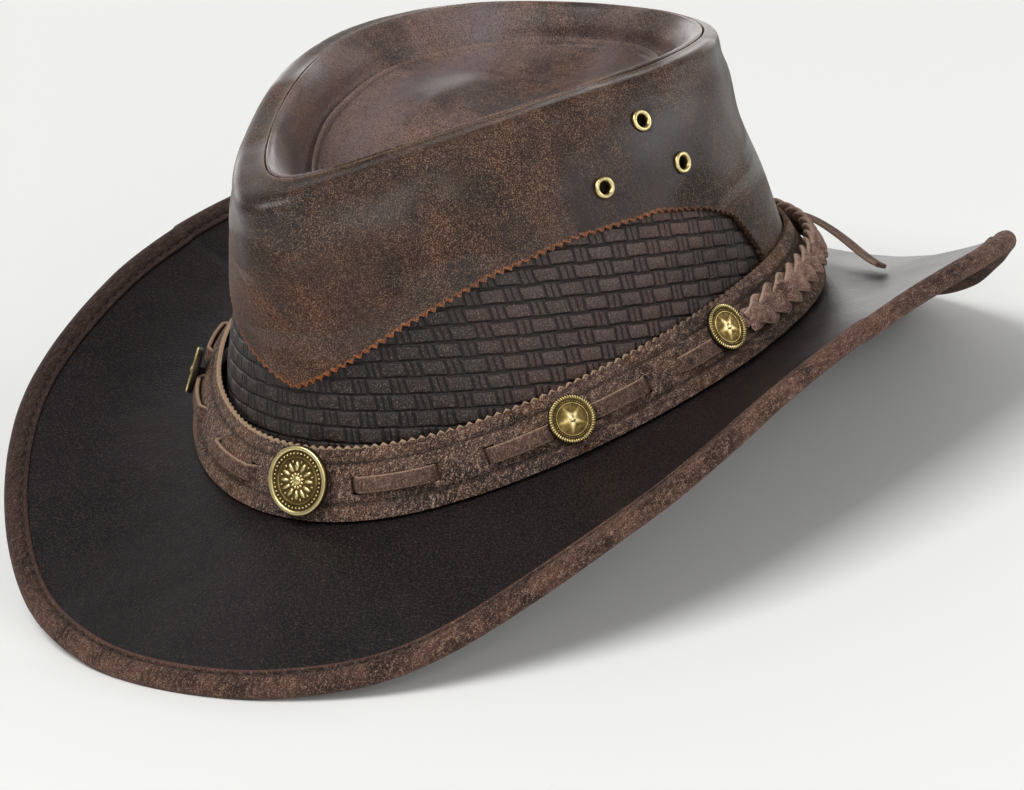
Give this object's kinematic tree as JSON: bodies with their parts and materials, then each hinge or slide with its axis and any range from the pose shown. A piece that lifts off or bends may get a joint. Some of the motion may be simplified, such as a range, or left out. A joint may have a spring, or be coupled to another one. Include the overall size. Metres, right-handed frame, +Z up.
{
  "type": "bush hat",
  "caption": "Leather bush hat with a ridged crown, curled brim with a turned edge, embossed weave panel, laced hatband with round metal studs, and a rear braid.",
  "frame": {"origin": "centre of the bounding box at the floor, on which the front and back of the brim rest", "axes": "+Z up out of the crown, -Y towards the front of the hat, +X towards the wearer's left"},
  "size_m": [0.2706, 0.3381, 0.1308],
  "materials": {
    "crown_leather": "waxed brown leather, smooth with worn lighter patches",
    "panel_leather": "dark embossed leather with a basket weave",
    "brim_leather": "near-black brown leather with a fine grain",
    "binding_leather": "lighter brown leather strip, stitched",
    "band_leather": "rough brown suede, pale at its pinked edges",
    "lace_suede": "pinkish brown suede lace",
    "old_brass": "antique brass, dark in its hollows"
  },
  "bodies": {
    "root": {"crown_wall": "crown_leather", "weave_panel": "panel_leather", "crown_top": "crown_leather", "brim": "brim_leather", "brim_binding": "binding_leather", "hatband": "band_leather", "lace": "lace_suede", "braid": "lace_suede", "stud_front": "old_brass", "stud_right_front": "old_brass", "stud_left_front": "old_brass", "stud_right_rear": "old_brass", "stud_left_rear": "old_brass", "eyelet_left_1": "old_brass", "eyelet_left_2": "old_brass", "eyelet_left_3": "old_brass", "eyelet_right_1": "old_brass", "eyelet_right_2": "old_brass", "eyelet_right_3": "old_brass", "lace_tail": "lace_suede"}
  },
  "joints": []
}
